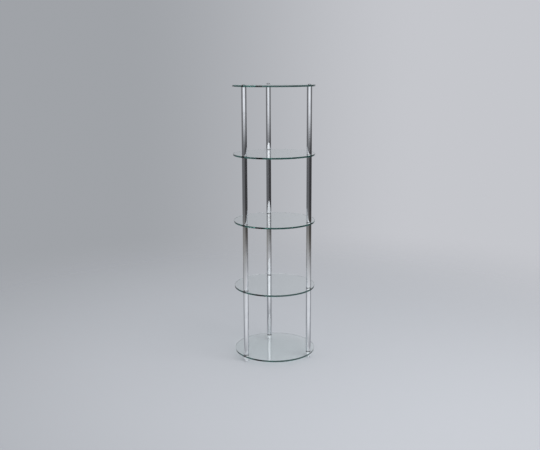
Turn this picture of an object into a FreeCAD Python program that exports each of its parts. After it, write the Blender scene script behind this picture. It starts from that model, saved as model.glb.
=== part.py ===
"""Round glass display tower: five glass shelves on three chromed posts, standing on three screw levellers.

Every post is a stack of tubes, one to a tier. A threaded plug is pressed into each tube end, and a stud
through the glass joins the plug below to the plug above, with a rubber grommet on each side of the glass.
Flanged dome-head screws close the posts on top. Under the bottom shelf each post ends in a foot collar, and a
leveller screws into the collar.

Millimetres, +Z up. The origin is the middle of the floor under the tower, and the rear post stands on +Y.
"""

import FreeCAD
import Part

import math
import os

# Shelves: toughened clear glass discs with a flat polished rim and a small arris along both of its edges
SHELF_NAMES = ("bottom", "lower", "middle", "upper", "top")
SHELF_DIAMETER = 400.0
SHELF_THICKNESS = 8.0
SHELF_ARRIS = 0.8

# Posts: chromed steel tubes, one to a tier, on a circle set in from the rim of the glass
POST_NAMES = ("rear", "front_left", "front_right")
POST_INSET = 20.0
TUBE_LENGTH = 320.0
TUBE_DIAMETER = 25.4
TUBE_WALL = 1.2
TUBE_END_CHAMFER = 0.4

# Thread: the same metric thread in every plug, screw and collar
THREAD_DIAMETER = 8.0
THREAD_PITCH = 1.25
THREAD_DEPTH = 0.7
THREAD_GAP = 0.05
STUD_END_CHAMFER = 0.8

# Plugs: round steel nuts pressed into the tube ends, flush with the cut
PLUG_LENGTH = 18.0
PLUG_PRESS_GAP = 0.02
PLUG_GRIP = 14.0

# Grommets: rubber top hats, one pushed into each side of every hole in the glass
GROMMET_FLANGE = 1.0
GROMMET_FLANGE_INSET = 0.7
GROMMET_WALL = 1.7
GROMMET_HOLE_GAP = 0.1
GROMMET_STUD_GAP = 0.2
GROMMET_MEETING_GAP = 0.8

# Cap screws: a low dome on a flange, with a hexagon socket, on the top shelf
CAP_FLANGE_COVER = 2.5
CAP_FLANGE_THICKNESS = 1.2
CAP_DOME_INSET = 1.7
CAP_DOME_HEIGHT = 3.2
CAP_SOCKET_ACROSS_FLATS = 5.0
CAP_SOCKET_DEPTH = 2.4

# Foot collars: turned and chromed, as wide as the tubes
COLLAR_HEIGHT = 16.0
COLLAR_CHAMFER = 0.5
COLLAR_GRIP = 5.0

# Levellers: a hexagon and a thread that screw up into the collar, and a button that the pad turns on
LEVELLER_END_GAP = 0.5
LEVELLER_HEX_ACROSS_FLATS = 14.0
LEVELLER_HEX_HEIGHT = 2.0
LEVELLER_HEX_CHAMFER = 0.4
LEVELLER_NECK_DIAMETER = 5.0
LEVELLER_BUTTON_RIM = 1.5
LEVELLER_BUTTON_HEIGHT = 1.4
LEVELLER_TURNING_GAP = 0.3

# Pads: chromed discs that stay still while the leveller turns, with a rubber sole let into the underside
PAD_DIAMETER = 24.0
PAD_LIP = 1.5
PAD_WEB = 1.5
PAD_SKIRT = 1.9
PAD_TOP_ROUND = 1.2
PAD_FOOT_CHAMFER = 0.5
SOLE_SEAT_DEPTH = 1.0
SOLE_STANDS_OUT = 1.0
SOLE_GAP = 0.1
SOLE_CHAMFER = 0.3

# Length by which a cutting tool runs past the face that it opens
CUT_OVERRUN = 1.0

# Heights that follow from the stack, from the floor up
PAD_BASE = SOLE_STANDS_OUT
PAD_CHAMBER_BASE = PAD_BASE + SOLE_SEAT_DEPTH + PAD_WEB
PAD_CHAMBER_TOP = PAD_CHAMBER_BASE + LEVELLER_BUTTON_HEIGHT + 2 * LEVELLER_TURNING_GAP
PAD_TOP = PAD_CHAMBER_TOP + PAD_LIP
COLLAR_BASE = PAD_TOP + LEVELLER_HEX_HEIGHT
COLLAR_TOP = COLLAR_BASE + COLLAR_HEIGHT
BOTTOM_SHELF_BASE = COLLAR_TOP + GROMMET_FLANGE
TIER_PITCH = SHELF_THICKNESS + 2 * GROMMET_FLANGE + TUBE_LENGTH

# Radii that follow from the fits
POST_CIRCLE_RADIUS = SHELF_DIAMETER / 2 - POST_INSET
THREAD_RADIUS = THREAD_DIAMETER / 2
THREAD_BORE_RADIUS = THREAD_RADIUS + THREAD_GAP
TUBE_RADIUS = TUBE_DIAMETER / 2
TUBE_BORE_RADIUS = TUBE_RADIUS - TUBE_WALL
GROMMET_BORE_RADIUS = THREAD_RADIUS + GROMMET_STUD_GAP
SPIGOT_RADIUS = GROMMET_BORE_RADIUS + GROMMET_WALL
SHELF_HOLE_RADIUS = SPIGOT_RADIUS + GROMMET_HOLE_GAP
SEAT_FLANGE_RADIUS = TUBE_RADIUS - GROMMET_FLANGE_INSET
CAP_FLANGE_RADIUS = SHELF_HOLE_RADIUS + CAP_FLANGE_COVER
CAP_DOME_RADIUS = CAP_FLANGE_RADIUS - CAP_DOME_INSET
CAP_SEAT_FLANGE_RADIUS = CAP_FLANGE_RADIUS - GROMMET_FLANGE_INSET
LEVELLER_NECK_RADIUS = LEVELLER_NECK_DIAMETER / 2
LEVELLER_BUTTON_RADIUS = LEVELLER_NECK_RADIUS + LEVELLER_BUTTON_RIM
PAD_RADIUS = PAD_DIAMETER / 2
SOLE_SEAT_RADIUS = PAD_RADIUS - PAD_SKIRT

# Depths that follow from the fits
LEVELLER_THREAD_LENGTH = COLLAR_HEIGHT - COLLAR_GRIP - LEVELLER_END_GAP

UP = FreeCAD.Vector(0, 0, 1)
TIER_COUNT = len(SHELF_NAMES) - 1
REAR_POST_ANGLE_DEG = 90
FULL_TURN_DEG = 360
HEXAGON_SIDES = 6


def on_axis(height):
    """The point of the post's own axis at a height."""
    return FreeCAD.Vector(0, 0, height)


def rod(radius, base, length):
    """A plain cylinder on the post's axis, from a base height up."""
    return Part.makeCylinder(radius, length, on_axis(base), UP)


def bored(blank, radius, base, length):
    """A blank with a hole of that radius right through the stretch from base up, open at both ends."""
    return blank.cut(rod(radius, base - CUT_OVERRUN, length + 2 * CUT_OVERRUN))


def turned(outline):
    """A solid of revolution about the post's axis from a closed outline of (radius, height) points."""
    points = [FreeCAD.Vector(radius, 0, height) for radius, height in outline]
    face = Part.Face(Part.makePolygon(points + points[:1]))
    return face.revolve(on_axis(0), UP, FULL_TURN_DEG)


def chamfered_rod(radius, base, length, chamfer):
    """A cylinder with both end edges chamfered at 45 degrees."""
    top = base + length
    return turned(
        [
            (0, base),
            (radius - chamfer, base),
            (radius, base + chamfer),
            (radius, top - chamfer),
            (radius - chamfer, top),
            (0, top),
        ]
    )


def corner_radius(across_flats):
    """Radius of the circle through the corners of a hexagon."""
    return across_flats / 2 / math.cos(math.pi / HEXAGON_SIDES)


def hexagon(across_flats, base, height):
    """A hexagonal prism on the post's axis, from a base height up."""
    reach = corner_radius(across_flats)
    corners = []
    for side in range(HEXAGON_SIDES + 1):
        angle = 2 * math.pi * side / HEXAGON_SIDES
        corners.append(FreeCAD.Vector(reach * math.cos(angle), reach * math.sin(angle), base))
    return Part.Face(Part.makePolygon(corners)).extrude(on_axis(height))


def shelf_base(level):
    """Height of the underside of the shelf at a level, counted from the bottom shelf."""
    return BOTTOM_SHELF_BASE + level * TIER_PITCH


def post_places():
    """The post's name and the point of the floor that it stands over, for each post."""
    places = []
    for index, name in enumerate(POST_NAMES):
        angle = math.radians(REAR_POST_ANGLE_DEG + index * FULL_TURN_DEG / len(POST_NAMES))
        direction = FreeCAD.Vector(math.cos(angle), math.sin(angle), 0)
        places.append((name, direction * POST_CIRCLE_RADIUS))
    return places


def at(shape, place):
    """A copy of a shape that was made on the origin's axis, moved to a post."""
    moved = shape.copy()
    moved.translate(place)
    return moved


def at_every_post(shape):
    """One copy of the shape at each post, as separate solids."""
    return [at(shape, place) for _, place in post_places()]


def shelf(level):
    """A glass disc with an arris on both edges of its rim and one hole for each post."""
    disc = chamfered_rod(SHELF_DIAMETER / 2, shelf_base(level), SHELF_THICKNESS, SHELF_ARRIS)
    drill = rod(
        SHELF_HOLE_RADIUS,
        shelf_base(level) - CUT_OVERRUN,
        SHELF_THICKNESS + 2 * CUT_OVERRUN,
    )
    for hole in at_every_post(drill):
        disc = disc.cut(hole)
    return disc


def tube_base(tier):
    """Height of the lower end of a tier's tubes."""
    return shelf_base(tier) + SHELF_THICKNESS + GROMMET_FLANGE


def tube(tier):
    """A post tube with its outer end edges eased."""
    blank = chamfered_rod(TUBE_RADIUS, tube_base(tier), TUBE_LENGTH, TUBE_END_CHAMFER)
    return bored(blank, TUBE_BORE_RADIUS, tube_base(tier), TUBE_LENGTH)


def plug(base):
    """A threaded plug whose lower face is at base."""
    radius = TUBE_BORE_RADIUS - PLUG_PRESS_GAP
    return bored(rod(radius, base, PLUG_LENGTH), THREAD_BORE_RADIUS, base, PLUG_LENGTH)


def plugs_of_a_post():
    """The two plugs of each tube in one post."""
    plugs = []
    for tier in range(TIER_COUNT):
        plugs.append(plug(tube_base(tier)))
        plugs.append(plug(tube_base(tier) + TUBE_LENGTH - PLUG_LENGTH))
    return plugs


def stud(base, top):
    """A threaded stud, drawn at the thread's full diameter."""
    return chamfered_rod(THREAD_RADIUS, base, top - base, STUD_END_CHAMFER)


def joining_stud(level):
    """The stud through a shelf that has tubes both under and over it."""
    seat_below = shelf_base(level) - GROMMET_FLANGE
    seat_above = shelf_base(level) + SHELF_THICKNESS + GROMMET_FLANGE
    return stud(seat_below - PLUG_GRIP, seat_above + PLUG_GRIP)


def foot_stud():
    """The stud that hangs the foot collar under the bottom shelf."""
    return stud(COLLAR_TOP - COLLAR_GRIP, tube_base(0) + PLUG_GRIP)


def grommet(flange_radius, glass_face, outwards):
    """A top hat with its flange on a glass face and its spigot in the hole.

    Outwards is 1 on the upper face of the glass and -1 on its underside.
    """
    spigot_length = (SHELF_THICKNESS - GROMMET_MEETING_GAP) / 2
    outer_face = glass_face + outwards * GROMMET_FLANGE
    inner_end = glass_face - outwards * spigot_length
    return turned(
        [
            (GROMMET_BORE_RADIUS, outer_face),
            (flange_radius, outer_face),
            (flange_radius, glass_face),
            (SPIGOT_RADIUS, glass_face),
            (SPIGOT_RADIUS, inner_end),
            (GROMMET_BORE_RADIUS, inner_end),
        ]
    )


def grommets_of_a_shelf(level):
    """The pair of grommets at each hole of a shelf, with small flanges under the cap screws."""
    upper_flange = CAP_SEAT_FLANGE_RADIUS if level == TIER_COUNT else SEAT_FLANGE_RADIUS
    under = grommet(SEAT_FLANGE_RADIUS, shelf_base(level), -1)
    over = grommet(upper_flange, shelf_base(level) + SHELF_THICKNESS, 1)
    return at_every_post(under) + at_every_post(over)


def cap_screw():
    """A flanged dome head with a hexagon socket, and a thread down through the top shelf into the plug below."""
    seat_below = shelf_base(TIER_COUNT) - GROMMET_FLANGE
    head_base = shelf_base(TIER_COUNT) + SHELF_THICKNESS + GROMMET_FLANGE
    dome_base = head_base + CAP_FLANGE_THICKNESS
    head_top = dome_base + CAP_DOME_HEIGHT
    sphere_radius = (CAP_DOME_RADIUS**2 + CAP_DOME_HEIGHT**2) / (2 * CAP_DOME_HEIGHT)
    sphere = Part.makeSphere(sphere_radius, on_axis(head_top - sphere_radius))
    dome = sphere.common(rod(CAP_DOME_RADIUS, dome_base, CAP_DOME_HEIGHT))
    flange = rod(CAP_FLANGE_RADIUS, head_base, CAP_FLANGE_THICKNESS)
    socket_base = head_top - CAP_SOCKET_DEPTH
    shank = stud(seat_below - PLUG_GRIP, socket_base)
    socket = hexagon(CAP_SOCKET_ACROSS_FLATS, socket_base, CAP_SOCKET_DEPTH + CUT_OVERRUN)
    return flange.fuse([dome, shank]).removeSplitter().cut(socket)


def foot_collar():
    """A turned collar with the thread right through it."""
    blank = chamfered_rod(TUBE_RADIUS, COLLAR_BASE, COLLAR_HEIGHT, COLLAR_CHAMFER)
    return bored(blank, THREAD_BORE_RADIUS, COLLAR_BASE, COLLAR_HEIGHT)


def leveller_thread():
    """The leveller's thread above its hexagon, drawn as rings one pitch apart."""
    root_radius = THREAD_RADIUS - THREAD_DEPTH
    ring_count = int((LEVELLER_THREAD_LENGTH - STUD_END_CHAMFER) / THREAD_PITCH)
    outline = [(0, COLLAR_BASE), (root_radius, COLLAR_BASE)]
    for ring in range(ring_count):
        root_height = COLLAR_BASE + ring * THREAD_PITCH
        outline.append((THREAD_RADIUS, root_height + THREAD_PITCH / 2))
        outline.append((root_radius, root_height + THREAD_PITCH))
    outline.append((root_radius, COLLAR_BASE + LEVELLER_THREAD_LENGTH))
    outline.append((0, COLLAR_BASE + LEVELLER_THREAD_LENGTH))
    return turned(outline)


def leveller():
    """A leveller stud: thread on top, hexagon, then a neck and a button that reach down into the pad."""
    button_base = PAD_CHAMBER_BASE + LEVELLER_TURNING_GAP
    button = rod(LEVELLER_BUTTON_RADIUS, button_base, LEVELLER_BUTTON_HEIGHT)
    neck = rod(LEVELLER_NECK_RADIUS, button_base, PAD_TOP - button_base)
    bar = chamfered_rod(
        corner_radius(LEVELLER_HEX_ACROSS_FLATS), PAD_TOP, LEVELLER_HEX_HEIGHT, LEVELLER_HEX_CHAMFER
    )
    head = hexagon(LEVELLER_HEX_ACROSS_FLATS, PAD_TOP, LEVELLER_HEX_HEIGHT).common(bar)
    return leveller_thread().fuse([head, neck, button]).removeSplitter()


def pad():
    """A pad with a rounded shoulder, a chamber that traps the leveller's button, and a seat for the sole."""
    disc = turned(
        [
            (0, PAD_BASE),
            (PAD_RADIUS - PAD_FOOT_CHAMFER, PAD_BASE),
            (PAD_RADIUS, PAD_BASE + PAD_FOOT_CHAMFER),
            (PAD_RADIUS, PAD_TOP),
            (0, PAD_TOP),
        ]
    )
    shoulder = [
        edge
        for edge in disc.Edges
        if edge.BoundBox.ZMin > PAD_CHAMBER_TOP and edge.BoundBox.XLength > PAD_RADIUS
    ]
    disc = disc.makeFillet(PAD_TOP_ROUND, shoulder)
    mouth = rod(
        LEVELLER_NECK_RADIUS + LEVELLER_TURNING_GAP,
        PAD_CHAMBER_BASE,
        PAD_TOP - PAD_CHAMBER_BASE + CUT_OVERRUN,
    )
    chamber = rod(
        LEVELLER_BUTTON_RADIUS + LEVELLER_TURNING_GAP,
        PAD_CHAMBER_BASE,
        PAD_CHAMBER_TOP - PAD_CHAMBER_BASE,
    )
    seat = rod(SOLE_SEAT_RADIUS, PAD_BASE - CUT_OVERRUN, SOLE_SEAT_DEPTH + CUT_OVERRUN)
    return disc.cut([mouth, chamber, seat])


def sole():
    """An anti-slip rubber disc, let into the pad and standing out below it."""
    return chamfered_rod(SOLE_SEAT_RADIUS - SOLE_GAP, 0, PAD_BASE + SOLE_SEAT_DEPTH, SOLE_CHAMFER)


def save(node, solids):
    """Writes one node's solids to its own file."""
    shape = solids[0] if len(solids) == 1 else Part.makeCompound(solids)
    shape.exportStep(os.path.join("parts", node + ".step"))


def main():
    os.makedirs("parts", exist_ok=True)
    inner_levels = range(1, TIER_COUNT)

    for level, name in enumerate(SHELF_NAMES):
        save(name + "_shelf", [shelf(level)])
        save(name + "_shelf_grommets", grommets_of_a_shelf(level))

    save("joining_studs", [one for level in inner_levels for one in at_every_post(joining_stud(level))])
    save("foot_studs", at_every_post(foot_stud()))
    save("cap_screws", at_every_post(cap_screw()))

    for name, place in post_places():
        for tier in range(TIER_COUNT):
            save(f"{name}_tube_tier_{tier + 1}", [at(tube(tier), place)])
        save(name + "_tube_plugs", [at(one, place) for one in plugs_of_a_post()])
        save(name + "_foot_collar", [at(foot_collar(), place)])
        save(name + "_leveller", [at(leveller(), place)])
        save(name + "_leveller_pad", [at(pad(), place)])
        save(name + "_leveller_sole", [at(sole(), place)])


main()
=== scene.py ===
"""The looks of a round glass display tower: five glass shelves on three chromed posts with levelling feet.

Metres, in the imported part's own frame: +Z up, the floor at 0, the rear post on +Y.
"""

import math

import bmesh
import bpy
from mathutils import Matrix, Vector


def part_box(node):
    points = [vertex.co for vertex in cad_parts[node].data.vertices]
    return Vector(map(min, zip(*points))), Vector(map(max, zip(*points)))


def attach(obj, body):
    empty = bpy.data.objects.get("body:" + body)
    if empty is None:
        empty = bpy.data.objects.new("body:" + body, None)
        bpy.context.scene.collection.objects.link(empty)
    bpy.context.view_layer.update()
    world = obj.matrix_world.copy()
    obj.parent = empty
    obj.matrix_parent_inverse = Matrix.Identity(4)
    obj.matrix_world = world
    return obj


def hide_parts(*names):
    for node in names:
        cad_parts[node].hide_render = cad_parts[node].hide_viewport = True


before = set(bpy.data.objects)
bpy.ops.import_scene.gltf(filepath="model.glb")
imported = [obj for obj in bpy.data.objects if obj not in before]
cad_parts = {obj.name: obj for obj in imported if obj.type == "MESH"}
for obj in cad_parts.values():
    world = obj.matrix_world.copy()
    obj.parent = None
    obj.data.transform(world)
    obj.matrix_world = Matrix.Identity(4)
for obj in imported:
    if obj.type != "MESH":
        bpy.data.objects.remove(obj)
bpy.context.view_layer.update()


# Soles: soft black rubber discs let into the undersides of the pads, the only pieces that touch the floor.
# Each is moulded in one piece, with eased edges and two ring grooves underneath for grip.
MM = 0.001
POSTS = ("rear", "front_left", "front_right")
HARD_EDGE = math.radians(28)
STRAIGHT_SHARE = 0.25
SAME_POINT = 0.001 * MM
ORIGIN = Vector((0, 0, 0))
SOLE_EASE = 0.3 * MM
TREAD_DEPTH = 0.6 * MM
TREAD_EASE = 0.15 * MM
TREAD_GROOVES = ((8.2 * MM, 6.6 * MM), (4.6 * MM, 3.0 * MM))
RUBBER_RELIEF = 0.05 * MM
RUBBER_TONE = (0.021, 0.021, 0.022, 1)
RUBBER_BLOOM = (0.052, 0.051, 0.049, 1)


def middle_of(node):
    """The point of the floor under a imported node's middle, and its lowest and highest corners."""
    low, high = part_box(node)
    return Vector(((low.x + high.x) / 2, (low.y + high.y) / 2, 0)), low, high


def rounded(corners, steps=4):
    """The (radius, height) points of an outline, with its (radius, height, ease) corners eased to rounds.

    A short straight run is kept on both sides of a round, so that the flats next to it shade flat.
    """
    points = []
    for index, (radius, height, ease) in enumerate(corners):
        corner = Vector((radius, height))
        back = Vector(corners[index - 1][:2]) - corner
        ahead = Vector(corners[(index + 1) % len(corners)][:2]) - corner
        if ease == 0:
            points.append(corner)
            continue
        half = back.angle(ahead) / 2
        run = ease / math.tan(half)
        start = corner + back.normalized() * run
        end = corner + ahead.normalized() * run
        centre = corner + (back.normalized() + ahead.normalized()).normalized() * ease / math.sin(half)
        sweep = math.pi - 2 * half
        if back.cross(ahead) > 0:
            sweep = -sweep
        points.append(start + back.normalized() * min(ease, back.length - run) * STRAIGHT_SHARE)
        for step in range(steps + 1):
            points.append(centre + Matrix.Rotation(sweep * step / steps, 2) @ (start - centre))
        points.append(end + ahead.normalized() * min(ease, ahead.length - run) * STRAIGHT_SHARE)
    return points


def ring_wall(shape, outline, centre, steps):
    """The rings of an open outline turned about an upright axis at a centre, with the wall between them."""
    rings = []
    for radius, height in outline:
        ring = []
        for step in range(steps):
            angle = math.tau * step / steps
            x = centre.x + radius * math.cos(angle)
            y = centre.y + radius * math.sin(angle)
            ring.append(shape.verts.new((x, y, height)))
        rings.append(ring)
    for lower, upper in zip(rings, rings[1:]):
        for step in range(steps):
            ahead = (step + 1) % steps
            shape.faces.new((lower[step], lower[ahead], upper[ahead], upper[step]))
    return rings


def turned(outline, steps=96):
    """A closed outline turned about the upright axis, as on a lathe, with its points on the axis joined."""
    shape = bmesh.new()
    ring_wall(shape, outline + outline[:1], ORIGIN, steps)
    bmesh.ops.remove_doubles(shape, verts=shape.verts, dist=SAME_POINT)
    axis_runs = [edge for edge in shape.edges if edge.is_wire]
    bmesh.ops.delete(shape, geom=axis_runs, context="EDGES")
    bmesh.ops.recalc_face_normals(shape, faces=shape.faces)
    return shape


def piece(name, copies):
    """An object made of (shape, place) copies, shaded smooth up to its hard edges."""
    mesh = bpy.data.meshes.new(name)
    whole = bmesh.new()
    for shape, place in copies:
        shape.to_mesh(mesh)
        mesh.transform(Matrix.Translation(place))
        whole.from_mesh(mesh)
    whole.to_mesh(mesh)
    whole.free()
    mesh.shade_smooth()
    mesh.set_sharp_from_angle(angle=HARD_EDGE)
    made = bpy.data.objects.new(name, mesh)
    bpy.context.scene.collection.objects.link(made)
    return made


def fit(made, node, body, finish):
    """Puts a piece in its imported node's stead, on the body that carries it and in its finish."""
    made.data.materials.append(finish)
    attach(made, body)
    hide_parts(node)


def add_node(tree, kind, inputs=None, **settings):
    """A node of that kind in the tree, with its settings made and its inputs set or linked."""
    made = tree.nodes.new(kind)
    for setting, value in settings.items():
        setattr(made, setting, value)
    for socket, value in (inputs or {}).items():
        if isinstance(value, bpy.types.NodeSocket):
            tree.links.new(value, made.inputs[socket])
        else:
            made.inputs[socket].default_value = value
    return made


def new_finish(name):
    """A new material, its node tree and its one Principled shader."""
    material = bpy.data.materials.new(name)
    material.use_nodes = True
    return material, material.node_tree, material.node_tree.nodes["Principled BSDF"]


def new_effect(name, inputs, outputs):
    """A new shader node group with named number inputs and outputs, and its two end nodes."""
    tree = bpy.data.node_groups.new(name, "ShaderNodeTree")
    for label, value in inputs.items():
        socket = tree.interface.new_socket(label, in_out="INPUT", socket_type="NodeSocketFloat")
        socket.default_value = value
    for label in outputs:
        tree.interface.new_socket(label, in_out="OUTPUT", socket_type="NodeSocketFloat")
    return tree, tree.nodes.new("NodeGroupInput"), tree.nodes.new("NodeGroupOutput")


def use_effect(tree, effect, **values):
    """An effect's group placed in a material's tree, with its own values."""
    made = add_node(tree, "ShaderNodeGroup", node_tree=effect)
    for label, value in values.items():
        made.inputs[label].default_value = value
    return made


moulded_grain, given, result = new_effect(
    "moulded_grain", {"Grain": 1500.0, "Mottle": 120.0}, ("Height", "Tone")
)
grain_place = add_node(moulded_grain, "ShaderNodeTexCoord")
grain = add_node(
    moulded_grain,
    "ShaderNodeTexNoise",
    {
        "Vector": grain_place.outputs["Object"],
        "Scale": given.outputs["Grain"],
        "Detail": 3.0,
        "Roughness": 0.6,
    },
)
mottle = add_node(
    moulded_grain,
    "ShaderNodeTexNoise",
    {"Vector": grain_place.outputs["Object"], "Scale": given.outputs["Mottle"], "Detail": 4.0},
)
moulded_grain.links.new(grain.outputs["Fac"], result.inputs["Height"])
moulded_grain.links.new(mottle.outputs["Fac"], result.inputs["Tone"])

rubber, tree, shader = new_finish("matt_rubber")
skin = use_effect(tree, moulded_grain, Grain=1400.0, Mottle=160.0)
tone = add_node(
    tree,
    "ShaderNodeMix",
    {"Factor": skin.outputs["Tone"], "A": RUBBER_TONE, "B": RUBBER_BLOOM},
    data_type="RGBA",
)
dull = add_node(
    tree, "ShaderNodeMapRange", {"Value": skin.outputs["Tone"], "To Min": 0.62, "To Max": 0.86}
)
relief = add_node(
    tree, "ShaderNodeBump", {"Height": skin.outputs["Height"], "Strength": 0.35, "Distance": RUBBER_RELIEF}
)
tree.links.new(tone.outputs["Result"], shader.inputs["Base Color"])
tree.links.new(dull.outputs["Result"], shader.inputs["Roughness"])
tree.links.new(relief.outputs["Normal"], shader.inputs["Normal"])
shader.inputs["Specular IOR Level"].default_value = 0.35

for post in POSTS:
    place, low, high = middle_of(post + "_leveller_sole")
    radius = (high.y - low.y) / 2
    corners = [(0, high.z, 0), (radius, high.z, SOLE_EASE), (radius, low.z, SOLE_EASE)]
    for outer, inner in TREAD_GROOVES:
        corners += [
            (outer, low.z, TREAD_EASE),
            (outer, low.z + TREAD_DEPTH, TREAD_EASE),
            (inner, low.z + TREAD_DEPTH, TREAD_EASE),
            (inner, low.z, TREAD_EASE),
        ]
    corners.append((0, low.z, 0))
    sole = piece(post + "_rubber_sole", [(turned(rounded(corners, steps=2)), place)])
    fit(sole, post + "_leveller_sole", post + "_pad", rubber)


# Pads: turned steel dishes, bright chromed, with a rounded shoulder and a fine groove round the wall.
# Each snaps over its leveller's button and stays still on its sole while the leveller turns.
PAD_SHOULDER_EASE = 1.2 * MM
PAD_FOOT_EASE = 0.5 * MM
PAD_MOUTH_RADIUS = 2.8 * MM
PAD_MOUTH_EASE = 0.2 * MM
PAD_CHAMBER_RADIUS = 4.3 * MM
PAD_CHAMBER_BASE = 2.5 * MM
PAD_CHAMBER_TOP = 4.5 * MM
PAD_SEAT_RADIUS = 10.1 * MM
PAD_SEAT_DEPTH = 1.0 * MM
PAD_SEAT_EASE = 0.15 * MM
GROOVE_WIDTH = 0.8 * MM
GROOVE_DEPTH = 0.45 * MM
GROOVE_EASE = 0.1 * MM
PAD_GROOVE_HEIGHT = 2.2 * MM
CHROME_TONE = (0.70, 0.71, 0.725, 1)
CHROME_HAZE = (0.65, 0.66, 0.68, 1)
CHROME_RELIEF = 0.02 * MM

tool_lines, given, result = new_effect("tool_lines", {"Across": 900.0, "Along": 900.0}, ("Height",))
line_place = add_node(tool_lines, "ShaderNodeTexCoord")
stretch = add_node(
    tool_lines,
    "ShaderNodeCombineXYZ",
    {"X": given.outputs["Across"], "Y": given.outputs["Across"], "Z": given.outputs["Along"]},
)
drawn_out = add_node(
    tool_lines,
    "ShaderNodeVectorMath",
    {0: line_place.outputs["Object"], 1: stretch.outputs["Vector"]},
    operation="MULTIPLY",
)
lines = add_node(
    tool_lines, "ShaderNodeTexNoise", {"Vector": drawn_out.outputs["Vector"], "Scale": 1.0, "Detail": 3.0}
)
tool_lines.links.new(lines.outputs["Fac"], result.inputs["Height"])

handling_marks, given, result = new_effect("handling_marks", {"Size": 14.0, "Onset": 0.5}, ("Mask",))
mark_place = add_node(handling_marks, "ShaderNodeTexCoord")
smear = add_node(
    handling_marks,
    "ShaderNodeTexNoise",
    {
        "Vector": mark_place.outputs["Object"],
        "Scale": given.outputs["Size"],
        "Detail": 2.5,
        "Roughness": 0.5,
        "Distortion": 0.6,
    },
)
onset_end = add_node(
    handling_marks, "ShaderNodeMath", {0: given.outputs["Onset"], 1: 0.28}, operation="ADD"
)
mark = add_node(
    handling_marks,
    "ShaderNodeMapRange",
    {
        "Value": smear.outputs["Fac"],
        "From Min": given.outputs["Onset"],
        "From Max": onset_end.outputs[0],
    },
    interpolation_type="SMOOTHSTEP",
)
handling_marks.links.new(mark.outputs["Result"], result.inputs["Mask"])

chrome, tree, shader = new_finish("bright_chrome")
marks = use_effect(tree, handling_marks, Size=22.0, Onset=0.46)
drawn = use_effect(tree, tool_lines, Across=700.0, Along=6.0)
tone = add_node(
    tree,
    "ShaderNodeMix",
    {"Factor": marks.outputs["Mask"], "A": CHROME_TONE, "B": CHROME_HAZE},
    data_type="RGBA",
)
dull = add_node(
    tree, "ShaderNodeMapRange", {"Value": marks.outputs["Mask"], "To Min": 0.04, "To Max": 0.09}
)
relief = add_node(
    tree, "ShaderNodeBump", {"Height": drawn.outputs["Height"], "Strength": 0.04, "Distance": CHROME_RELIEF}
)
tree.links.new(tone.outputs["Result"], shader.inputs["Base Color"])
tree.links.new(dull.outputs["Result"], shader.inputs["Roughness"])
tree.links.new(relief.outputs["Normal"], shader.inputs["Normal"])
shader.inputs["Metallic"].default_value = 1.0


def groove(radius, base):
    """The corners of a fine groove in a wall of that radius, from its upper edge down."""
    bottom = radius - GROOVE_DEPTH
    return [
        (radius, base + GROOVE_WIDTH, GROOVE_EASE),
        (bottom, base + GROOVE_WIDTH, GROOVE_EASE),
        (bottom, base, GROOVE_EASE),
        (radius, base, GROOVE_EASE),
    ]


for post in POSTS:
    place, low, high = middle_of(post + "_leveller_pad")
    radius = (high.y - low.y) / 2
    foot = low.z
    corners = [
        (PAD_MOUTH_RADIUS, high.z, PAD_MOUTH_EASE),
        (radius, high.z, PAD_SHOULDER_EASE),
        *groove(radius, foot + PAD_GROOVE_HEIGHT),
        (radius, foot, PAD_FOOT_EASE),
        (PAD_SEAT_RADIUS, foot, PAD_SEAT_EASE),
        (PAD_SEAT_RADIUS, foot + PAD_SEAT_DEPTH, 0),
        (0, foot + PAD_SEAT_DEPTH, 0),
        (0, foot + PAD_CHAMBER_BASE, 0),
        (PAD_CHAMBER_RADIUS, foot + PAD_CHAMBER_BASE, 0),
        (PAD_CHAMBER_RADIUS, foot + PAD_CHAMBER_TOP, 0),
        (PAD_MOUTH_RADIUS, foot + PAD_CHAMBER_TOP, 0),
    ]
    pad = piece(post + "_chromed_pad", [(turned(rounded(corners), steps=128), place)])
    fit(pad, post + "_leveller_pad", post + "_pad", chrome)


# Levellers: zinc-plated steel screws with a thin hexagon for a spanner, rolled thread above it and
# a button below. The thread runs up into the foot collar, and the button is trapped in the pad.
THREAD_RADIUS = 4.0 * MM
THREAD_PITCH = 1.25 * MM
THREAD_DEPTH = 0.7 * MM
THREAD_END_CHAMFER = 0.8 * MM
THREAD_FORM_SHARES = ((0.0, 1), (0.25, 1), (0.58, 0), (0.67, 0))
HEXAGON_SIDES = 6
LEVELLER_HEX_ACROSS_FLATS = 14.0 * MM
LEVELLER_HEX_BASE = 3.2 * MM
LEVELLER_HEX_HEIGHT = 2.0 * MM
LEVELLER_HEX_CHAMFER_WIDTH = 0.9 * MM
LEVELLER_HEX_CHAMFER_HEIGHT = 0.54 * MM
LEVELLER_HEX_CHAMFER_STEPS = 3
LEVELLER_NECK_RADIUS = 2.5 * MM
LEVELLER_BUTTON_RADIUS = 4.0 * MM
LEVELLER_BUTTON_HEIGHT = 1.4 * MM
LEVELLER_BUTTON_EASE = 0.2 * MM
ZINC_TONE = (0.60, 0.61, 0.62, 1)
ZINC_TINGE = (0.50, 0.51, 0.47, 1)
ZINC_RUBBED = (0.74, 0.74, 0.75, 1)
ZINC_RELIEF = 0.02 * MM

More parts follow.
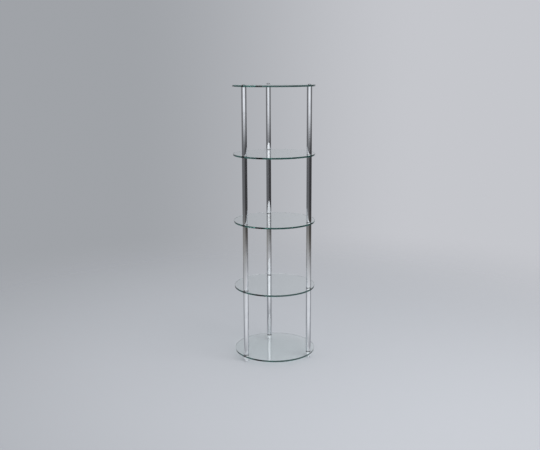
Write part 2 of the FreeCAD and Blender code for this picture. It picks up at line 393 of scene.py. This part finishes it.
zinc_steel, tree, shader = new_finish("zinc_plated_steel")
skin = use_effect(tree, moulded_grain, Grain=1800.0, Mottle=90.0)
cut = use_effect(tree, tool_lines, Across=60.0, Along=9000.0)
bend = add_node(tree, "ShaderNodeNewGeometry")
rubbed = add_node(
    tree, "ShaderNodeMapRange", {"Value": bend.outputs["Pointiness"], "From Min": 0.53, "From Max": 0.64}
)
spot = add_node(tree, "ShaderNodeTexCoord")
patchy = add_node(
    tree, "ShaderNodeTexNoise", {"Vector": spot.outputs["Generated"], "Scale": 900.0, "Detail": 2.0}
)
wear = add_node(
    tree, "ShaderNodeMath", {0: rubbed.outputs["Result"], 1: patchy.outputs["Fac"]}, operation="MULTIPLY"
)
tone = add_node(
    tree,
    "ShaderNodeMix",
    {"Factor": skin.outputs["Tone"], "A": ZINC_TONE, "B": ZINC_TINGE},
    data_type="RGBA",
)
tone = add_node(
    tree,
    "ShaderNodeMix",
    {"Factor": wear.outputs[0], "A": tone.outputs["Result"], "B": ZINC_RUBBED},
    data_type="RGBA",
)
dull = add_node(tree, "ShaderNodeMapRange", {"Value": skin.outputs["Tone"], "To Min": 0.22, "To Max": 0.42})
relief = add_node(
    tree, "ShaderNodeBump", {"Height": cut.outputs["Height"], "Strength": 0.2, "Distance": ZINC_RELIEF}
)
tree.links.new(tone.outputs["Result"], shader.inputs["Base Color"])
tree.links.new(dull.outputs["Result"], shader.inputs["Roughness"])
tree.links.new(relief.outputs["Normal"], shader.inputs["Normal"])
shader.inputs["Metallic"].default_value = 1.0


def corner_radius(across_flats):
    """Radius of the circle through the corners of a hexagon."""
    return across_flats / 2 / math.cos(math.pi / HEXAGON_SIDES)


def hexagon_reach(point, across_flats):
    """How far a hexagon reaches from its axis in a point's direction."""
    sector = math.tau / HEXAGON_SIDES
    angle = math.atan2(point.y, point.x) % sector - sector / 2
    return across_flats / 2 / math.cos(angle)


def mill_hexagon(shape, across_flats, base, top):
    """Mills six flats on a turned shape between two heights."""
    for vertex in shape.verts:
        radius = vertex.co.xy.length
        if base - SAME_POINT <= vertex.co.z <= top + SAME_POINT and radius > across_flats / 2:
            vertex.co.xy *= min(1, hexagon_reach(vertex.co, across_flats) / radius)


def threaded_rod(base, top, steps=28):
    """A right-hand threaded rod between two heights, chamfered at both ends."""
    shape = bmesh.new()
    end_radius = THREAD_RADIUS - THREAD_END_CHAMFER
    turns = int((top - base) / THREAD_PITCH) + 2
    columns = []
    for step in range(steps):
        angle = math.tau * step / steps
        column = []
        for turn in range(-1, turns):
            for share, sunk in THREAD_FORM_SHARES:
                height = base + (turn + share + step / steps) * THREAD_PITCH
                height = min(max(height, base), top)
                radius = THREAD_RADIUS - sunk * THREAD_DEPTH
                radius = min(radius, end_radius + height - base, end_radius + top - height)
                column.append(
                    shape.verts.new((radius * math.cos(angle), radius * math.sin(angle), height))
                )
        columns.append(column)
    for step in range(steps):
        left = columns[step]
        right = columns[(step + 1) % steps]
        lead = 0 if step + 1 < steps else len(THREAD_FORM_SHARES)
        for level in range(len(left) - lead - 1):
            shape.faces.new((left[level], right[level + lead], right[level + lead + 1], left[level + 1]))
    bmesh.ops.remove_doubles(shape, verts=shape.verts, dist=SAME_POINT)
    bmesh.ops.holes_fill(shape, edges=shape.edges, sides=0)
    bmesh.ops.recalc_face_normals(shape, faces=shape.faces)
    return shape


for post in POSTS:
    place, low, high = middle_of(post + "_leveller")
    button_top = low.z + LEVELLER_BUTTON_HEIGHT
    hex_base = low.z + LEVELLER_HEX_BASE
    hex_top = hex_base + LEVELLER_HEX_HEIGHT
    hex_corner = corner_radius(LEVELLER_HEX_ACROSS_FLATS)
    chamfer = []
    for step in range(LEVELLER_HEX_CHAMFER_STEPS + 1):
        share = step / LEVELLER_HEX_CHAMFER_STEPS
        inset = LEVELLER_HEX_CHAMFER_WIDTH * (1 - share)
        chamfer.append((hex_corner - inset, LEVELLER_HEX_CHAMFER_HEIGHT * share))
    corners = [
        (0, low.z, 0),
        (LEVELLER_BUTTON_RADIUS, low.z, LEVELLER_BUTTON_EASE),
        (LEVELLER_BUTTON_RADIUS, button_top, LEVELLER_BUTTON_EASE),
        (LEVELLER_NECK_RADIUS, button_top, 0),
        (LEVELLER_NECK_RADIUS, hex_base, 0),
    ]
    corners += [(radius, hex_base + inwards, 0) for radius, inwards in chamfer]
    corners += [(radius, hex_top - inwards, 0) for radius, inwards in reversed(chamfer)]
    corners.append((0, hex_top, 0))
    head = turned(rounded(corners))
    mill_hexagon(head, LEVELLER_HEX_ACROSS_FLATS, hex_base, hex_top)
    screw = piece(post + "_leveller_screw", [(head, place), (threaded_rod(hex_top, high.z), place)])
    fit(screw, post + "_leveller", post + "_leveller", zinc_steel)


# Foot collars: turned steel, bright chromed, as wide as the tubes, with a fine groove above the foot.
# Each hangs under the bottom shelf on its foot stud and takes the leveller's thread from below.
COLLAR_EASE = 0.6 * MM
COLLAR_GROOVE_HEIGHT = 3.2 * MM
COLLAR_BORE_RADIUS = 4.05 * MM
COLLAR_BORE_CHAMFER = 0.6 * MM

for post in POSTS:
    place, low, high = middle_of(post + "_foot_collar")
    radius = (high.y - low.y) / 2
    outline = rounded(
        [
            (COLLAR_BORE_RADIUS, high.z, 0),
            (radius, high.z, COLLAR_EASE),
            *groove(radius, low.z + COLLAR_GROOVE_HEIGHT),
            (radius, low.z, COLLAR_EASE),
            (COLLAR_BORE_RADIUS + COLLAR_BORE_CHAMFER, low.z, 0),
            (COLLAR_BORE_RADIUS, low.z + COLLAR_BORE_CHAMFER, 0),
        ]
    )
    collar = piece(post + "_chromed_collar", [(turned(outline, steps=128), place)])
    fit(collar, post + "_foot_collar", "tower", chrome)


# Shelves: discs of 8 mm toughened clear glass, ground and polished round the rim, with both edges eased.
# One hole for each post is drilled and eased before the glass is toughened.
SHELVES = ("bottom", "lower", "middle", "upper", "top")
RIM_EASE = 0.9 * MM
RIM_FLAT = 2.5 * MM
RIM_STEPS = 288
HOLE_RADIUS = 6.0 * MM
HOLE_EASE = 0.5 * MM
HOLE_FLAT = 1.5 * MM
HOLE_STEPS = 64
GLASS_FACE = (0.985, 0.995, 0.99, 1)
# Painted shade: the rim faces are tinted dark green for the light lost along the glass's length.
GLASS_RIM_PAINTED_SHADE = (0.27, 0.38, 0.37, 1)
GLASS_DEPTH_COLOR = (0.2, 0.55, 0.5, 1)
GLASS_DEPTH_DENSITY = 5.0
GLASS_SHADE = (0.98, 0.985, 0.984, 1)

clear_glass, tree, shader = new_finish("clear_glass")
marks = use_effect(tree, handling_marks, Size=9.0, Onset=0.55)
facing = add_node(tree, "ShaderNodeNewGeometry")
upright = add_node(tree, "ShaderNodeSeparateXYZ", {"Vector": facing.outputs["True Normal"]})
level = add_node(tree, "ShaderNodeMath", {0: upright.outputs["Z"]}, operation="ABSOLUTE")
# Painted shade on the upright rim faces, picked out by which way they face.
rim_shade_mask = add_node(
    tree, "ShaderNodeMapRange", {"Value": level.outputs[0], "From Min": 0.9, "From Max": 0.3}
)
tone = add_node(
    tree,
    "ShaderNodeMix",
    {"Factor": rim_shade_mask.outputs["Result"], "A": GLASS_FACE, "B": GLASS_RIM_PAINTED_SHADE},
    data_type="RGBA",
)
dull = add_node(tree, "ShaderNodeMapRange", {"Value": marks.outputs["Mask"], "To Min": 0.0, "To Max": 0.02})
depth = add_node(
    tree, "ShaderNodeVolumeAbsorption", {"Color": GLASS_DEPTH_COLOR, "Density": GLASS_DEPTH_DENSITY}
)
tree.links.new(tone.outputs["Result"], shader.inputs["Base Color"])
tree.links.new(dull.outputs["Result"], shader.inputs["Roughness"])
tree.links.new(depth.outputs["Volume"], tree.nodes["Material Output"].inputs["Volume"])
shader.inputs["Transmission Weight"].default_value = 1.0
shader.inputs["IOR"].default_value = 1.52
ray = add_node(tree, "ShaderNodeLightPath")
unseen = add_node(
    tree,
    "ShaderNodeMath",
    {0: ray.outputs["Is Shadow Ray"], 1: ray.outputs["Is Diffuse Ray"]},
    operation="MAXIMUM",
)
let_through = add_node(tree, "ShaderNodeBsdfTransparent", {"Color": GLASS_SHADE})
lit = add_node(
    tree,
    "ShaderNodeMixShader",
    {0: unseen.outputs[0], 1: shader.outputs["BSDF"], 2: let_through.outputs["BSDF"]},
)
tree.links.new(lit.outputs["Shader"], tree.nodes["Material Output"].inputs["Surface"])


def ring_edges(shape, ring):
    """The edges that join a ring's points in order."""
    return [shape.edges.get((a, b)) for a, b in zip(ring, ring[1:] + ring[:1])]


def glass_disc(radius, base, top, holes):
    """A glass disc with an eased rim and eased holes."""
    shape = bmesh.new()
    rim = rounded(
        [
            (radius - RIM_FLAT, base, 0),
            (radius, base, RIM_EASE),
            (radius, top, RIM_EASE),
            (radius - RIM_FLAT, top, 0),
        ]
    )
    bore = rounded(
        [
            (HOLE_RADIUS + HOLE_FLAT, base, 0),
            (HOLE_RADIUS, base, HOLE_EASE),
            (HOLE_RADIUS, top, HOLE_EASE),
            (HOLE_RADIUS + HOLE_FLAT, top, 0),
        ]
    )
    walls = [ring_wall(shape, rim, ORIGIN, RIM_STEPS)]
    for hole in holes:
        walls.append(ring_wall(shape, bore, hole, HOLE_STEPS))
    for end in (0, -1):
        edges = []
        for wall in walls:
            edges += ring_edges(shape, wall[end])
        bmesh.ops.triangle_fill(shape, edges=edges, use_beauty=True)
    bmesh.ops.recalc_face_normals(shape, faces=shape.faces)
    return shape


post_places = [middle_of(post + "_foot_collar")[0] for post in POSTS]
for name in SHELVES:
    low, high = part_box(name + "_shelf")
    disc = glass_disc(high.y, low.z, high.z, post_places)
    shelf = piece(name + "_glass", [(disc, ORIGIN)])
    fit(shelf, name + "_shelf", "tower", clear_glass)


# Grommets: black rubber top hats pushed into both sides of every hole, so that no metal touches the glass.
# Clamped between glass and tube, the soft flange bulges a little at its edge.
FLANGE_THICKNESS = 1.0 * MM
FLANGE_RADIUS = 12.0 * MM
CAP_SEAT_FLANGE_RADIUS = 7.8 * MM
FLANGE_EASE = 0.38 * MM
SPIGOT_RADIUS = 5.9 * MM
SPIGOT_LENGTH = 3.6 * MM
SPIGOT_EASE = 0.3 * MM
GROMMET_BORE_RADIUS = 4.2 * MM


def grommet(flange_radius, glass_face, outwards):
    """A top hat with its flange on a glass face: outwards is 1 on the upper face, -1 on the underside."""
    outer_face = glass_face + outwards * FLANGE_THICKNESS
    inner_end = glass_face - outwards * SPIGOT_LENGTH
    return turned(
        rounded(
            [
                (GROMMET_BORE_RADIUS, outer_face, 0),
                (flange_radius, outer_face, FLANGE_EASE),
                (flange_radius, glass_face, FLANGE_EASE),
                (SPIGOT_RADIUS, glass_face, 0),
                (SPIGOT_RADIUS, inner_end, SPIGOT_EASE),
                (GROMMET_BORE_RADIUS, inner_end, 0),
            ]
        )
    )


for name in SHELVES:
    low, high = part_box(name + "_shelf")
    over_radius = CAP_SEAT_FLANGE_RADIUS if name == "top" else FLANGE_RADIUS
    under = grommet(FLANGE_RADIUS, low.z, -1)
    over = grommet(over_radius, high.z, 1)
    copies = [(under, place) for place in post_places] + [(over, place) for place in post_places]
    grommets = piece(name + "_rubber_grommets", copies)
    fit(grommets, name + "_shelf_grommets", "tower", rubber)


# Studs: lengths of zinc-plated threaded rod that pull the tower together through the holes in the glass.
# Foot studs hold the collars, and joining studs run from plug to plug through the three inner shelves.
STUD_GRIP = 14.0 * MM
shelf_faces = {name: (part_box(name + "_shelf")[0].z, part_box(name + "_shelf")[1].z) for name in SHELVES}

low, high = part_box("foot_studs")
rod = threaded_rod(low.z, high.z)
studs = piece("foot_threaded_studs", [(rod, place) for place in post_places])
fit(studs, "foot_studs", "tower", zinc_steel)

copies = []
for name in ("lower", "middle", "upper"):
    underside, upper_face = shelf_faces[name]
    reach = FLANGE_THICKNESS + STUD_GRIP
    rod = threaded_rod(underside - reach, upper_face + reach)
    copies += [(rod, place) for place in post_places]
studs = piece("joining_threaded_studs", copies)
fit(studs, "joining_studs", "tower", zinc_steel)


# Plugs: round zinc-plated steel nuts pressed into both ends of every tube, flush with the cut.
# Their threaded bores are eased at both faces so that the stud starts straight.
PLUG_RADIUS = 11.48 * MM
PLUG_LENGTH = 18.0 * MM
PLUG_BORE_RADIUS = 4.05 * MM
PLUG_EASE = 0.4 * MM
TIERS = (1, 2, 3, 4)

for post, place in zip(POSTS, post_places):
    copies = []
    for tier in TIERS:
        low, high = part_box(f"{post}_tube_tier_{tier}")
        for base in (low.z, high.z - PLUG_LENGTH):
            outline = rounded(
                [
                    (PLUG_BORE_RADIUS, base, PLUG_EASE),
                    (PLUG_RADIUS, base, PLUG_EASE),
                    (PLUG_RADIUS, base + PLUG_LENGTH, PLUG_EASE),
                    (PLUG_BORE_RADIUS, base + PLUG_LENGTH, PLUG_EASE),
                ],
                steps=2,
            )
            copies.append((turned(outline, steps=64), place))
    plugs = piece(post + "_pressed_plugs", copies)
    fit(plugs, post + "_tube_plugs", "tower", zinc_steel)


# Post tubes: drawn steel tube, polished and bright chromed, cut to one length with eased ends.
# A tier's three tubes stand between two shelves, with only the rubber flanges between them and the glass.
TUBE_WALL = 1.2 * MM
TUBE_END_EASE = 0.5 * MM
TUBE_BORE_EASE = 0.2 * MM

for post, place in zip(POSTS, post_places):
    for tier in TIERS:
        node = f"{post}_tube_tier_{tier}"
        low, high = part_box(node)
        radius = (high.y - low.y) / 2
        outline = rounded(
            [
                (radius - TUBE_WALL, low.z, TUBE_BORE_EASE),
                (radius, low.z, TUBE_END_EASE),
                (radius, high.z, TUBE_END_EASE),
                (radius - TUBE_WALL, high.z, TUBE_BORE_EASE),
            ]
        )
        tube = piece(f"{post}_chromed_tube_{tier}", [(turned(outline, steps=128), place)])
        fit(tube, node, "tower", chrome)


# Cap screws: chromed steel screws with a low dome on a flange and a countersunk hexagon socket for the key.
# Each clamps the top shelf on its post from above, with its thread down in the topmost plug.
CAP_FLANGE_RADIUS = 8.5 * MM
CAP_FLANGE_THICKNESS = 1.2 * MM
CAP_FLANGE_EASE = 0.35 * MM
CAP_DOME_RADIUS = 6.8 * MM
CAP_DOME_HEIGHT = 3.2 * MM
CAP_DOME_STEPS = 12
CAP_FILLET = 0.3 * MM
SOCKET_ACROSS_FLATS = 5.0 * MM
SOCKET_DEPTH = 2.4 * MM
SOCKET_MOUTH = 0.15 * MM
SOCKET_SLOPE = 0.6

head_base = shelf_faces["top"][1] + FLANGE_THICKNESS
dome_base = head_base + CAP_FLANGE_THICKNESS
head_top = dome_base + CAP_DOME_HEIGHT
dome_curve = (CAP_DOME_RADIUS**2 + CAP_DOME_HEIGHT**2) / (2 * CAP_DOME_HEIGHT)
socket_corner = corner_radius(SOCKET_ACROSS_FLATS)
socket_base = head_top - SOCKET_DEPTH
mouth_lean = math.asin((socket_corner + SOCKET_MOUTH) / dome_curve)
foot_lean = math.asin(CAP_DOME_RADIUS / dome_curve)
dome = []
for step in range(CAP_DOME_STEPS):
    lean = mouth_lean + (foot_lean - mouth_lean) * step / CAP_DOME_STEPS
    dome.append((dome_curve * math.sin(lean), head_top - dome_curve * (1 - math.cos(lean)), 0))
outline = rounded(
    [
        (0, socket_base, 0),
        (socket_corner, socket_base, 0),
        (socket_corner, dome[0][1] - SOCKET_MOUTH * SOCKET_SLOPE, 0),
        *dome,
        (CAP_DOME_RADIUS, dome_base, CAP_FILLET),
        (CAP_FLANGE_RADIUS, dome_base, CAP_FLANGE_EASE),
        (CAP_FLANGE_RADIUS, head_base, CAP_FLANGE_EASE),
        (0, head_base, 0),
    ]
)
head = turned(outline)
for vertex in head.verts:
    if abs(vertex.co.xy.length - socket_corner) < SAME_POINT:
        reach = hexagon_reach(vertex.co, SOCKET_ACROSS_FLATS)
        if vertex.co.z > socket_base + SAME_POINT:
            vertex.co.z -= (socket_corner - reach) * SOCKET_SLOPE
        vertex.co.xy *= reach / socket_corner
shank = threaded_rod(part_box("cap_screws")[0].z, head_base)
copies = [(shape, place) for place in post_places for shape in (head, shank)]
screws = piece("chromed_cap_screws", copies)
fit(screws, "cap_screws", "tower", chrome)


# Floor: a plain pale matt sheet under the tower, part of the studio and not of the piece.
# Its edge fades out, so that it runs into the backdrop with no line. Mirror rays alone see a painted
# reflection on it: painted light in front and close to the feet, and painted shade at the sides.
FLOOR_RADIUS = 3.2
FLOOR_FADE_START = 0.7
FLOOR_FADE_END = 3.136
FLOOR_STEPS = 96
FLOOR_TONE = (0.50, 0.515, 0.55, 1)
# Painted reflection tones, seen by mirror rays only: painted light for the front and near the feet, painted
# shade for the sides.
FLOOR_PAINTED_MIRROR_LIGHT = (0.80, 0.815, 0.85, 1)
FLOOR_PAINTED_MIRROR_SHADE = (0.35, 0.36, 0.385, 1)
# Where the painted light in front starts and ends, and where the painted light near the feet gives way to
# painted shade.
FLOOR_FRONT_START = 0.05
FLOOR_FRONT_END = 0.6
FLOOR_NEAR_START = 0.24
FLOOR_NEAR_END = 0.34
CAMERA_TURN = 0.1564
CAMERA_SIDE = Vector((-math.sin(CAMERA_TURN), -math.cos(CAMERA_TURN), 0))

sheet = bmesh.new()
bmesh.ops.create_circle(sheet, cap_ends=True, radius=FLOOR_RADIUS, segments=FLOOR_STEPS)
floor_mesh = bpy.data.meshes.new("studio_floor")
sheet.to_mesh(floor_mesh)
sheet.free()
floor = bpy.data.objects.new("studio_floor", floor_mesh)
bpy.context.scene.collection.objects.link(floor)

paper, tree, shader = new_finish("matt_paper")
shader.inputs["Roughness"].default_value = 0.8
shader.inputs["Specular IOR Level"].default_value = 0.1
spot = add_node(tree, "ShaderNodeTexCoord")
# Painted reflection: mirror rays see the floor lighter near the feet and in front, and darker at the sides.
nearer = add_node(
    tree, "ShaderNodeVectorMath", {0: spot.outputs["Object"], 1: CAMERA_SIDE}, operation="DOT_PRODUCT"
)
painted_mirror_light_share = add_node(
    tree,
    "ShaderNodeMapRange",
    {"Value": nearer.outputs["Value"], "From Min": FLOOR_FRONT_START, "From Max": FLOOR_FRONT_END},
    interpolation_type="SMOOTHSTEP",
)
away = add_node(tree, "ShaderNodeVectorMath", {0: spot.outputs["Object"]}, operation="LENGTH")
painted_mirror_shade_share = add_node(
    tree,
    "ShaderNodeMapRange",
    {"Value": away.outputs["Value"], "From Min": FLOOR_NEAR_START, "From Max": FLOOR_NEAR_END},
    interpolation_type="SMOOTHSTEP",
)
ray = add_node(tree, "ShaderNodeLightPath")
side = add_node(
    tree,
    "ShaderNodeMix",
    {"Factor": painted_mirror_shade_share.outputs["Result"], "A": FLOOR_PAINTED_MIRROR_LIGHT, "B": FLOOR_PAINTED_MIRROR_SHADE},
    data_type="RGBA",
)
side = add_node(
    tree,
    "ShaderNodeMix",
    {"Factor": ray.outputs["Is Transmission Ray"], "A": side.outputs["Result"], "B": FLOOR_TONE},
    data_type="RGBA",
)
painted_reflection = add_node(
    tree,
    "ShaderNodeMix",
    {"Factor": painted_mirror_light_share.outputs["Result"], "A": side.outputs["Result"], "B": FLOOR_PAINTED_MIRROR_LIGHT},
    data_type="RGBA",
)
tone = add_node(
    tree,
    "ShaderNodeMix",
    {"Factor": ray.outputs["Is Glossy Ray"], "A": FLOOR_TONE, "B": painted_reflection.outputs["Result"]},
    data_type="RGBA",
)
tree.links.new(tone.outputs["Result"], shader.inputs["Base Color"])
fade = add_node(
    tree,
    "ShaderNodeMapRange",
    {"Value": away.outputs["Value"], "From Min": FLOOR_FADE_START, "From Max": FLOOR_FADE_END},
    interpolation_type="SMOOTHSTEP",
)
gone = add_node(tree, "ShaderNodeBsdfTransparent")
faded = add_node(
    tree,
    "ShaderNodeMixShader",
    {0: fade.outputs["Result"], 1: shader.outputs["BSDF"], 2: gone.outputs["BSDF"]},
)
tree.links.new(faded.outputs["Shader"], tree.nodes["Material Output"].inputs["Surface"])
floor_mesh.materials.append(paper)


# Studio: a plain pale backdrop all round, an even soft light and a softbox above the front.
# Metal also mirrors what stands behind the camera: a bright window band with a lamp over it, and a dim
# room at its sides and below it. Limits are a unit direction's height, or its reach to the right or front.
BACKDROP_TONE = (0.475, 0.49, 0.52, 1)
BACKDROP_SHADED = (0.35, 0.365, 0.39, 1)
BACKDROP_LIT = (0.56, 0.57, 0.605, 1)
EVEN_LIGHT = (0.72, 0.73, 0.74, 1)
CEILING_TONE = (0.38, 0.38, 0.39, 1)
WINDOW_TONE = (1.02, 1.05, 1.1, 1)
LAMP_TONE = (1.7, 1.75, 1.8, 1)
ROOM_TONE = (0.21, 0.21, 0.22, 1)
ROOM_LOW_LEFT = (0.160, 0.163, 0.172, 1)
ROOM_LOW_RIGHT = (0.054, 0.053, 0.057, 1)
ROOM_FOOT_LEFT = (0.32, 0.31, 0.295, 1)
ROOM_FOOT_RIGHT = (0.10, 0.09, 0.08, 1)
ROOM_FOOT_SIDES = (0.0, 0.4)
ROOM_FOOT_TOP = (-0.24, -0.17)
ROOM_LOW_SIDES = (-0.1, 0.2)
ROOM_LOW_TOP = (-0.115, -0.05)
ROOM_TOP = (0.0, 0.06)
WINDOW_EDGE = (0.58, 0.78)
WINDOW_SILL = (-0.115, -0.04)
LAMP_BASE = (0.0, 0.05)
CEILING_BASE = (0.35, 0.6)
BACKDROP_EDGE = (-0.74, -0.92)
BACKDROP_SIDES = (-0.2, 0.2)
CAMERA_RIGHT = Vector((math.cos(CAMERA_TURN), -math.sin(CAMERA_TURN), 0))
SOFTBOX_SIZE = 2.4
SOFTBOX_POWER = 52.0
SOFTBOX_PLACE = Vector((1.1, -1.6, 2.7))
SOFTBOX_AIM = Vector((0, 0, 0.5))

world = bpy.data.worlds.new("studio")
world.use_nodes = True
bpy.context.scene.world = world
tree = world.node_tree
background = tree.nodes["Background"]
way = add_node(tree, "ShaderNodeTexCoord").outputs["Generated"]
height = add_node(tree, "ShaderNodeSeparateXYZ", {"Vector": way}).outputs["Z"]
flat = add_node(
    tree, "ShaderNodeVectorMath", {0: way, 1: (1, 1, 0)}, operation="MULTIPLY"
).outputs["Vector"]
bearing = add_node(tree, "ShaderNodeVectorMath", {0: flat}, operation="NORMALIZE").outputs["Vector"]
front = add_node(
    tree, "ShaderNodeVectorMath", {0: bearing, 1: CAMERA_SIDE}, operation="DOT_PRODUCT"
).outputs["Value"]
right = add_node(
    tree, "ShaderNodeVectorMath", {0: bearing, 1: CAMERA_RIGHT}, operation="DOT_PRODUCT"
).outputs["Value"]


def ramp(value, limits):
    """A soft step from 0 to 1 as a value goes from the first limit to the second."""
    start, end = limits
    return add_node(
        tree,
        "ShaderNodeMapRange",
        {"Value": value, "From Min": start, "From Max": end},
        interpolation_type="SMOOTHSTEP",
    ).outputs["Result"]


def between(share, first, second):
    """A colour that goes from the first to the second as share goes from 0 to 1."""
    return add_node(
        tree, "ShaderNodeMix", {"Factor": share, "A": first, "B": second}, data_type="RGBA"
    ).outputs["Result"]


room_foot = between(ramp(right, ROOM_FOOT_SIDES), ROOM_FOOT_LEFT, ROOM_FOOT_RIGHT)
low_room = between(ramp(right, ROOM_LOW_SIDES), ROOM_LOW_LEFT, ROOM_LOW_RIGHT)
low_room = between(ramp(height, ROOM_FOOT_TOP), room_foot, low_room)
room = between(ramp(height, ROOM_LOW_TOP), low_room, ROOM_TONE)
room = between(ramp(height, ROOM_TOP), room, BACKDROP_TONE)
window = add_node(
    tree,
    "ShaderNodeMath",
    {0: ramp(front, WINDOW_EDGE), 1: ramp(height, WINDOW_SILL)},
    operation="MULTIPLY",
)
glow = between(ramp(height, LAMP_BASE), WINDOW_TONE, LAMP_TONE)
room = between(window.outputs[0], room, glow)
room = between(ramp(height, CEILING_BASE), room, CEILING_TONE)
behind = ramp(front, BACKDROP_EDGE)
backdrop = between(ramp(right, BACKDROP_SIDES), BACKDROP_SHADED, BACKDROP_LIT)
backdrop = between(behind, BACKDROP_TONE, backdrop)
studio = between(behind, room, backdrop)
ray = add_node(tree, "ShaderNodeLightPath")
seen = add_node(
    tree,
    "ShaderNodeMath",
    {0: ray.outputs["Is Camera Ray"], 1: ray.outputs["Is Transmission Ray"]},
    operation="MAXIMUM",
)
light = between(ray.outputs["Is Glossy Ray"], EVEN_LIGHT, studio)
light = between(seen.outputs[0], light, backdrop)
tree.links.new(light, background.inputs["Color"])

softbox = bpy.data.lights.new("softbox", "AREA")
softbox.shape = "SQUARE"
softbox.size = SOFTBOX_SIZE
softbox.energy = SOFTBOX_POWER
softbox_stand = bpy.data.objects.new("softbox", softbox)
softbox_stand.location = SOFTBOX_PLACE
softbox_stand.rotation_euler = (SOFTBOX_AIM - SOFTBOX_PLACE).to_track_quat("-Z", "Y").to_euler()
softbox_stand.visible_glossy = False
bpy.context.scene.collection.objects.link(softbox_stand)


# Camera: a normal lens a little above the top shelf, standing slightly left of the tower's front and
# looking down. Light needs many bounces to run the length of a shelf and out of its rim.
CAMERA_DISTANCE = 3.68
CAMERA_HEIGHT = 1.432
CAMERA_YAW = 0.0058
CAMERA_TILT = 0.1880
CAMERA_ROLL = 0.0045
CAMERA_LENS = 50.48
CAMERA_SHIFT = -0.024
LONGEST_PATH = 32

heading = CAMERA_YAW - CAMERA_TURN
flat_ahead = Vector((-math.sin(heading), math.cos(heading), 0))
flat_right = Vector((math.cos(heading), math.sin(heading), 0))
ahead = math.cos(CAMERA_TILT) * flat_ahead - math.sin(CAMERA_TILT) * Vector((0, 0, 1))
above = flat_right.cross(ahead)
level_right = math.cos(CAMERA_ROLL) * flat_right - math.sin(CAMERA_ROLL) * above
level_up = level_right.cross(ahead)
lens = bpy.data.cameras.new("camera")
lens.lens = CAMERA_LENS
lens.shift_y = CAMERA_SHIFT
camera = bpy.data.objects.new("camera", lens)
stand = CAMERA_SIDE * CAMERA_DISTANCE
stand.z = CAMERA_HEIGHT
aim = Matrix((level_right, level_up, -ahead)).transposed().to_4x4()
camera.matrix_world = Matrix.Translation(stand) @ aim
bpy.context.scene.collection.objects.link(camera)
bpy.context.scene.camera = camera

bpy.context.scene.view_settings.view_transform = "Standard"
cycles = bpy.context.scene.cycles
cycles.max_bounces = LONGEST_PATH
cycles.glossy_bounces = LONGEST_PATH
cycles.transmission_bounces = LONGEST_PATH
cycles.transparent_max_bounces = LONGEST_PATH
